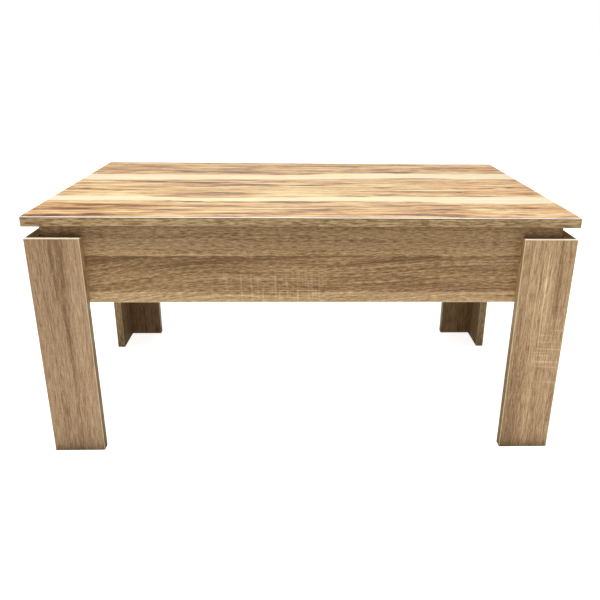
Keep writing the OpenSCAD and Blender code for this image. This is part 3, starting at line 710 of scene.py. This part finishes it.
def oiled_spring():
    """Dark drawn wire, with lighter rubbed lines along it and an oil sheen."""
    paint = Paint("oiled_spring_steel")
    drawn = paint.swing(paint.x * 300, paint.y * 900, paint.z * 900, 3, 0.6)
    oil = paint.even_swing(120, 2)
    tint = paint.ramp(0.5 + drawn * 1.6, [(0.2, colour(78, 76, 74)), (0.5, colour(120, 119, 118)),
                                          (0.8, colour(168, 168, 168))])
    return paint.finish(tint, 0.34 + oil * 0.3, drawn, 0.00003, Metallic=0.95)


def natural_nylon():
    """Milky nylon with a faint moulded grain."""
    paint = Paint("natural_nylon")
    grain = paint.even_swing(1800, 2)
    cloud = paint.even_swing(150, 2)
    tint = paint.shade(colour(228, 225, 214), 1.0 + cloud * 0.15 + grain * 0.08)
    return paint.finish(tint, 0.42 + grain * 0.2, grain, 0.00003, Subsurface_Weight=0.15)


def beech_dowel():
    """Beech with short dark rays along the dowel."""
    paint = Paint("beech_dowel")
    rays = paint.swing(paint.x * 300, paint.y * 1800, paint.z * 1800, 2)
    tint = paint.ramp(0.5 + rays * 1.8, [(0.2, colour(170, 126, 82)), (0.5, colour(208, 168, 120)),
                                         (0.8, colour(226, 192, 148))])
    return paint.finish(tint, 0.6 + rays * 0.2, rays, 0.00008)


def rounded(node, width, material):
    """Gives a CAD node its material and rounds its edges with modifiers, which leave its own mesh alone."""
    part = nodes[node]
    part.material_slots[0].material = material
    part.modifiers.new("Weld", "WELD").merge_threshold = 1e-5
    bevel = part.modifiers.new("Bevel", "BEVEL")
    bevel.width, bevel.segments, bevel.limit_method = width, 3, "ANGLE"
    bevel.angle_limit = math.radians(50)
    bevel.use_clamp_overlap = False
    part.modifiers.new("Normals", "WEIGHTED_NORMAL").keep_sharp = False


SCREW_SIDES = 32


def circle(radius, count):
    """Points round a circle, anticlockwise."""
    return [(radius * math.cos(angle), radius * math.sin(angle))
            for angle in (2 * math.pi * i / count for i in range(count))]


def headed(mesh, place, axis, profile, socket, depth, narrowing):
    """Adds one screw or bolt. profile is (radius, height) from the rim of its flat top to its tip, axis
    points out of its head, and socket is the outline of the driver's recess, which narrows towards its
    floor."""
    turn = Vector((0, 0, 1)).rotation_difference(Vector(axis)).to_matrix()

    def ring(outline, height):
        return [mesh.verts.new(Vector(place) + turn @ Vector((x, y, height))) for x, y in outline]

    def bridge(first, second):
        for i, vertex in enumerate(first):
            following = (i + 1) % len(first)
            mesh.faces.new((vertex, first[following], second[following], second[i])).smooth = True

    rings = [ring(circle(radius, SCREW_SIDES), height) for radius, height in profile]
    for above, under in zip(rings, rings[1:]):
        bridge(under, above)
    mesh.faces.new(list(reversed(rings[-1])))
    rim = profile[0][1]
    mouth = ring(socket, rim)
    floor = ring([(x * narrowing, y * narrowing) for x, y in socket], rim - depth)
    bridge(floor, mouth)
    mesh.faces.new(floor)
    border = [mesh.edges.get((loop[i], loop[(i + 1) % len(loop)])) for loop in (rings[0], mouth)
              for i in range(len(loop))]
    bmesh.ops.triangle_fill(mesh, edges=border, normal=Vector(axis))


# A countersunk wood screw with a cross recess, and a button head bolt with a hexagon socket. head is
# (radius, height) down to the shank, thread_from is the depth where the thread begins, root and crest are
# its radii, and plain is the length that has no thread.
WOOD_SCREW = {
    "head": [(0.0036, 0.0), (0.0039, -0.0002), (0.0038, -0.0005), (0.0021, -0.0022)],
    "thread_from": 0.0026, "pitch": 0.0012, "root": 0.0016, "crest": 0.0020, "plain": 0.0045,
    "tip_length": 0.002, "tip_radius": 0.0003, "socket_depth": 0.0015, "socket_narrowing": 0.6,
    "socket": [(0.0022, -0.0005), (0.0022, 0.0005), (0.0006, 0.0006), (0.0005, 0.0022), (-0.0005, 0.0022),
               (-0.0006, 0.0006), (-0.0022, 0.0005), (-0.0022, -0.0005), (-0.0006, -0.0006),
               (-0.0005, -0.0022), (0.0005, -0.0022), (0.0006, -0.0006)],
}
BUTTON_BOLT = {
    "head": [(0.0029, 0.0), (0.0038, -0.0003), (0.0046, -0.0011), (0.0051, -0.0021), (0.00525, -0.0032),
             (0.0030, -0.0032), (0.0030, -0.020)],
    "thread_from": 0.0205, "pitch": 0.001, "root": 0.0026, "crest": 0.0030, "plain": 0.023,
    "tip_length": 0.001, "tip_radius": 0.0020, "socket_depth": 0.0022, "socket_narrowing": 0.97,
    "socket": circle(0.0023, 6),
}


def driven(node, suffix, axis, body, material, style):
    """Screws or bolts along an axis, in place of a node's plain ones. Their heads face the middle of the
    table, and those in the top face down."""
    mesh = bmesh.new()
    for low, high in solids(node):
        middle, length = (low + high) / 2, high[axis] - low[axis]
        out = Vector((0, 0, 0))
        out[axis] = 1 if middle[axis] < 0 else -1
        head = middle.copy()
        head[axis] = high[axis] if out[axis] > 0 else low[axis]
        profile = list(style["head"])
        for turn in range(int((length - style["plain"]) / style["pitch"])):
            height = -style["thread_from"] - turn * style["pitch"]
            profile += [(style["root"], height), (style["crest"], height - style["pitch"] / 2)]
        profile += [(style["root"], -length + style["tip_length"]), (style["tip_radius"], -length)]
        headed(mesh, head, out, profile, style["socket"], style["socket_depth"], style["socket_narrowing"])
    new_piece(node + suffix, mesh, [material], body, node)


def tube(mesh, path, radius, sides=14):
    """A round wire along a path, with domed ends."""
    dome_width, dome_height = 0.7, 0.25    # shares of the wire's radius
    count = len(path)
    tangents = [(path[min(i + 1, count - 1)] - path[max(i - 1, 0)]).normalized() for i in range(count)]
    side = tangents[0].cross(Vector((1, 0.2, 0.1))).normalized()
    rings = []
    for point, tangent in zip(path, tangents):
        side = (side - side.dot(tangent) * tangent).normalized()
        other = tangent.cross(side)
        rings.append([mesh.verts.new(point + x * side + y * other) for x, y in circle(radius, sides)])

    def bridge(first, second, order=1):
        for k in range(sides):
            after = (k + 1) % sides
            mesh.faces.new((first[k], first[after], second[after], second[k])[::order])

    for first, second in zip(rings, rings[1:]):
        bridge(first, second)
    for ring, point, outwards, order in ((rings[0], path[0], -tangents[0], -1),
                                         (rings[-1], path[-1], tangents[-1], 1)):
        inner = [mesh.verts.new(point + (vertex.co - point) * dome_width + outwards * radius * dome_height)
                 for vertex in ring]
        bridge(ring, inner, order)
        mesh.faces.new(inner[::order])


def turned_corners(points, radius, steps=7):
    """The path with each of its inner corners turned round on a curve of about that radius."""
    most = 0.45    # share of a straight that a curve takes, so that two curves don't meet
    path = [points[0]]
    for before, corner, after in zip(points, points[1:], points[2:]):
        into, out = (corner - before), (after - corner)
        reach = min(radius, into.length * most, out.length * most)
        start, end = corner - into.normalized() * reach, corner + out.normalized() * reach
        for i in range(steps + 1):
            t = i / steps
            path.append(start * (1 - t) ** 2 + corner * 2 * t * (1 - t) + end * t ** 2)
    return path + [points[-1]]


# The springs' sizes. panel is a side panel's distance from the middle of the table, and pivot is (y, z) of
# the rear arms' base pivots. near, far, post_slot and hook are depths, measured inwards from the side panel.
# The wire's inner end goes from inner_from to inner_to through the post's slot, along y. The coil begins at
# first_angle and turns through sweep, in degrees.
SPRING = {"panel": 0.457, "pivot": (-0.060, 0.375), "wire": 0.00175, "coil": 0.0115, "near": 0.00965,
          "far": 0.03015, "post_slot": 0.03115, "inner_from": 0.005, "inner_to": -0.0113, "leg": 0.042,
          "hook": 0.0040, "corner": 0.004, "first_angle": 195, "sweep": 1875}
COIL_STEPS, LEG_STEPS = 168, 6


def lift_spring(side, name, material):
    """A torsion spring, built where it rests. Its inner end lies in the post's slot, and the coil winds from
    there to its leg."""
    size = SPRING
    radius, near, far = size["coil"], size["near"], size["far"]

    def point(depth, along, up):
        return Vector((side * (size["panel"] - depth), size["pivot"][0] + along, size["pivot"][1] + up))

    coil = []
    for i in range(COIL_STEPS + 1):
        share = i / COIL_STEPS
        angle = math.radians(size["first_angle"] + share * size["sweep"])
        coil.append(point(far - share * (far - near), radius * math.cos(angle), radius * math.sin(angle)))
    start = turned_corners([point(size["post_slot"], size["inner_from"], 0),
                            point(size["post_slot"], size["inner_to"], 0), coil[0]], size["corner"])
    leg = turned_corners([coil[-1], point(near, size["leg"], -radius),
                          point(size["hook"], size["leg"], -radius)], size["corner"])
    straight = [coil[-1].lerp(leg[1], i / LEG_STEPS) for i in range(1, LEG_STEPS)]
    mesh = bmesh.new()
    tube(mesh, start[:-1] + coil + straight + leg[1:], size["wire"])
    node = f"{name}_lift_spring"
    piece = new_piece(node + "_wound", mesh, [material], None, node, smooth=True)
    point(far, 0, 0)
    point(near, 0, 0)
    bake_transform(piece)


black, nylon, beech = powder_coat(), natural_nylon(), beech_dowel()
zinc = zinc_plate("zinc_plate", 190, 192, 196, 0.3)
dark_zinc = zinc_plate("zinc_cast", 158, 160, 164, 0.4)

# CAD parts that keep their shape: material, width of the rounded edges, and nodes.
for material, width, parts in (
        (black, 0.0004, ("left_base_bracket", "right_base_bracket", "left_top_bracket", "right_top_bracket",
                         "left_front_arm", "left_rear_arm", "right_front_arm", "right_rear_arm")),
        (zinc, 0.0006, ("base_pivot_pins", "top_pivot_pins")),
        (zinc, 0.0003, ("stop_pins", "leg_bolt_washers", "leg_bolt_inserts", "leg_cam_bolts",
                        "box_cam_bolts")),
        (dark_zinc, 0.0002, ("leg_cam_locks", "box_cam_locks")),
        (nylon, 0.0002, ("base_pivot_washers", "top_pivot_washers", "bumper_pads")),
        (beech, 0.0008, ("leg_dowels", "box_dowels"))):
    for node in parts:
        rounded(node, width, material)

driven("base_bracket_screws", "_driven", AXES["x"], "box", zinc, WOOD_SCREW)
driven("top_bracket_screws", "_driven", AXES["z"], "top", zinc, WOOD_SCREW)
driven("leg_bolts", "_button_head", AXES["y"], "box", zinc, BUTTON_BOLT)
wire = oiled_spring()
lift_spring(-1, "left", wire)
lift_spring(1, "right", wire)


# --------------------------------------------------------------------------------------------------------
# Floor, lights and camera
# --------------------------------------------------------------------------------------------------------

def white_floor(glow):
    """A plain white floor. It glows, so its shadows stay faint, and it sends no light to the table."""
    mesh = bmesh.new()
    bmesh.ops.create_grid(mesh, x_segments=8, y_segments=8, size=60)    # half its side, in metres
    data = bpy.data.meshes.new("floor")
    mesh.to_mesh(data)
    mesh.free()
    paint = Paint("floor_white")
    cloud = paint.swing(paint.x * 0.8, paint.y * 0.8, 0, 2)
    paint.shader.inputs["Emission Color"].default_value = (1, 1, 1, 1)
    paint.shader.inputs["Emission Strength"].default_value = glow
    tint = paint.shade((0.8, 0.8, 0.8, 1), 1.0 + cloud * 0.02)
    data.materials.append(paint.finish(tint, 0.9, Specular_IOR_Level=0.0))
    floor = bpy.data.objects.new("floor", data)
    floor.location.z = -0.0005
    floor.visible_diffuse = False
    floor.visible_glossy = False
    bpy.context.scene.collection.objects.link(floor)


def white_world(strength):
    """A world that looks white, and lights the table with only this strength."""
    world = bpy.data.worlds.new("studio")
    bpy.context.scene.world = world
    world.use_nodes = True
    tree = world.node_tree
    tree.nodes.clear()
    seen, soft = tree.nodes.new("ShaderNodeBackground"), tree.nodes.new("ShaderNodeBackground")
    seen.inputs["Strength"].default_value = 1.0
    soft.inputs["Strength"].default_value = strength
    seen.inputs["Color"].default_value = soft.inputs["Color"].default_value = (1, 1, 1, 1)
    rays = tree.nodes.new("ShaderNodeLightPath")
    choose = tree.nodes.new("ShaderNodeMixShader")
    tree.links.new(rays.outputs["Is Camera Ray"], choose.inputs[0])
    tree.links.new(soft.outputs[0], choose.inputs[1])
    tree.links.new(seen.outputs[0], choose.inputs[2])
    tree.links.new(choose.outputs[0], tree.nodes.new("ShaderNodeOutputWorld").inputs["Surface"])


# Soft lamps that aim at the table: name, place, size and watts.
LAMPS = (("key", (-0.25, -1.19, 2.88), (1.0, 0.5), 60), ("fill", (0.1, -3.0, 2.0), (2.6, 1.4), 8),
         ("left", (-3.0, 0.3, 2.3), (1.6, 1.6), 16), ("right", (3.0, 0.3, 2.3), (1.6, 1.6), 16),
         ("back", (0.0, 3.0, 2.2), (2.4, 1.6), 32))
# Lamps that lie on the floor and send up the light that it would bounce.
FLOOR_LAMPS = (("bounce_front", (0.0, -1.22, 0.002), (3.0, 1.8), 22),
               ("bounce_back", (0.0, 1.22, 0.002), (3.0, 1.8), 14),
               ("bounce_left", (-1.42, 0.0, 0.002), (1.8, 1.2), 6),
               ("bounce_right", (1.42, 0.0, 0.002), (1.8, 1.2), 6))
AIM = Vector((0, 0, 0.35))


def area_lamp(name, place, size, watts):
    lamp = bpy.data.lights.new(name, "AREA")
    lamp.shape = "RECTANGLE"
    lamp.size, lamp.size_y = size
    lamp.energy = watts
    stand = bpy.data.objects.new(name, lamp)
    stand.location = place
    bpy.context.scene.collection.objects.link(stand)
    return stand


def camera(place, down, turn, roll, lens, shift):
    """Looks along +Y, turned right and pitched down by these angles in degrees, and rolled clockwise."""
    pitch, yaw, tilt = math.radians(down), math.radians(turn), math.radians(roll)
    forward = Vector((math.sin(yaw) * math.cos(pitch), math.cos(yaw) * math.cos(pitch), -math.sin(pitch)))
    level = forward.cross(Vector((0, 0, 1))).normalized()
    upward = level.cross(forward)
    right = level * math.cos(tilt) + upward * math.sin(tilt)
    up = upward * math.cos(tilt) - level * math.sin(tilt)
    data = bpy.data.cameras.new("camera")
    data.lens, data.sensor_width = lens, 36
    data.shift_x, data.shift_y = shift
    data.dof.use_dof = False
    data.clip_start, data.clip_end = 0.01, 300
    made = bpy.data.objects.new("camera", data)
    turned = Matrix((right, up, -forward)).transposed().to_4x4()
    turned.translation = place
    made.matrix_world = turned
    bpy.context.scene.collection.objects.link(made)
    bpy.context.scene.camera = made


white_floor(glow=0.84)
white_world(strength=0.24)
for lamp in LAMPS:
    stand = area_lamp(*lamp)
    stand.rotation_euler = (AIM - stand.location).to_track_quat("-Z", "Y").to_euler()
for lamp in FLOOR_LAMPS:
    stand = area_lamp(*lamp)
    stand.rotation_euler.x = math.pi
    stand.visible_camera = False
camera(place=(-0.0141, -1.4222, 0.7543), down=21.01, turn=2.137, roll=0.725, lens=38.80,
       shift=(-0.0326, 0.0007))
bpy.context.scene.view_settings.view_transform = "Standard"
